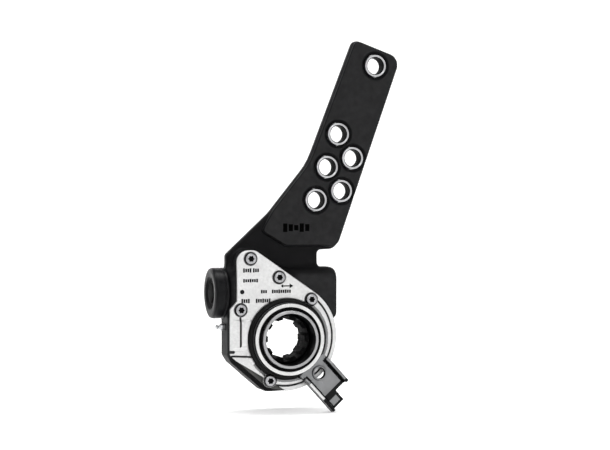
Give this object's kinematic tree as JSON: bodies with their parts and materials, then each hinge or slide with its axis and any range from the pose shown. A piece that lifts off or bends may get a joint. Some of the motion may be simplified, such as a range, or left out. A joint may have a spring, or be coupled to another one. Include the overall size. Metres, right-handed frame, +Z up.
{
  "type": "automatic slack adjuster",
  "caption": "Automatic slack adjuster for an S-cam drum brake: a lever arm with clevis-pin bushes, a worm gear set on a splined bore, and a control arm that works its adjusting mechanism.",
  "frame": {"origin": "on the axis of the splined camshaft bore, in the plane of the worm axis", "axes": "-Y out of the cover along the bore axis, +Z up with the lever arm leaning 19.6 degrees towards +X"},
  "size_m": [0.1659, 0.0545, 0.3159],
  "materials": {
    "black_paint": "satin black paint on cast iron",
    "cover_zinc": "bright zinc-plated sheet",
    "machined_steel": "turned steel",
    "zinc_steel": "grey zinc-plated steel",
    "dark_steel": "oiled hardened steel",
    "spring_steel": "oiled spring wire",
    "bronze": "bearing bronze",
    "black_plastic": "moulded black plastic",
    "rubber": "matt black rubber",
    "gasket": "gasket sheet"
  },
  "bodies": {
    "housing_body": {"housing": "black_paint", "clevis_bush_1": "zinc_steel", "clevis_bush_2": "zinc_steel", "clevis_bush_3": "zinc_steel", "clevis_bush_4": "zinc_steel", "clevis_bush_5": "zinc_steel", "clevis_bush_6": "zinc_steel", "cover_plate": "cover_zinc", "cover_gasket": "gasket", "cover_screw_1": "zinc_steel", "cover_screw_2": "zinc_steel", "cover_screw_3": "zinc_steel", "cover_screw_4": "zinc_steel", "cover_screw_5": "zinc_steel", "cover_screw_6": "zinc_steel", "grease_nipple": "zinc_steel", "worm_bore_cap": "black_plastic", "cap_o_ring": "rubber", "adjuster_seal": "rubber", "worm_bearing": "bronze", "rear_seal": "rubber", "wheel_thrust_washer": "bronze", "rack_spring": "spring_steel", "main_spring": "spring_steel"},
    "control_unit": {"control_hub": "machined_steel", "control_arm_bracket": "zinc_steel", "control_disc": "zinc_steel", "hub_o_ring": "rubber", "dust_seal": "rubber"},
    "rack_body": {"rack": "dark_steel"},
    "pinion_body": {"pinion": "dark_steel", "one_way_spring": "spring_steel"},
    "wheel_body": {"worm_wheel": "dark_steel", "splined_hub": "dark_steel"},
    "thrust_body": {"thrust_washer": "bronze", "spring_seat": "zinc_steel"},
    "worm_body": {"worm_shaft": "dark_steel", "clutch_ring": "dark_steel"}
  },
  "joints": [
    {"name": "control_arm_swing", "type": "hinge", "parent": "housing_body", "child": "control_unit", "pos_m": [0, 0, 0], "axis": [0, 1, 0], "range_deg": [-10, 5]},
    {"name": "rack_slide", "type": "slide", "parent": "housing_body", "child": "rack_body", "axis": [0, 0, 1], "range_m": [-0.0062, 0.0031], "deforming": ["rack_spring"]},
    {"name": "pinion_spin", "type": "hinge", "parent": "housing_body", "child": "pinion_body", "pos_m": [-0.033, 0, 0.0385], "axis": [1, 0, 0], "range_deg": [-22, 43]},
    {"name": "worm_wheel_spin", "type": "hinge", "parent": "housing_body", "child": "wheel_body", "pos_m": [0, 0, 0], "axis": [0, 1, 0], "continuous": true},
    {"name": "worm_float", "type": "slide", "parent": "housing_body", "child": "thrust_body", "axis": [1, 0, 0], "range_m": [0, 0.0007], "stiffness_N_per_m": 5000, "deforming": ["main_spring"]},
    {"name": "worm_shaft_spin", "type": "hinge", "parent": "thrust_body", "child": "worm_body", "pos_m": [0, 0, 0.0385], "axis": [1, 0, 0], "continuous": true}
  ],
  "couplings": [
    {"joint": "rack_slide", "follows": "control_arm_swing", "m_per_rad": 0.033},
    {"joint": "pinion_spin", "follows": "control_arm_swing", "ratio": -4.125},
    {"joint": "worm_shaft_spin", "follows": "worm_wheel_spin", "ratio": -20}
  ]
}
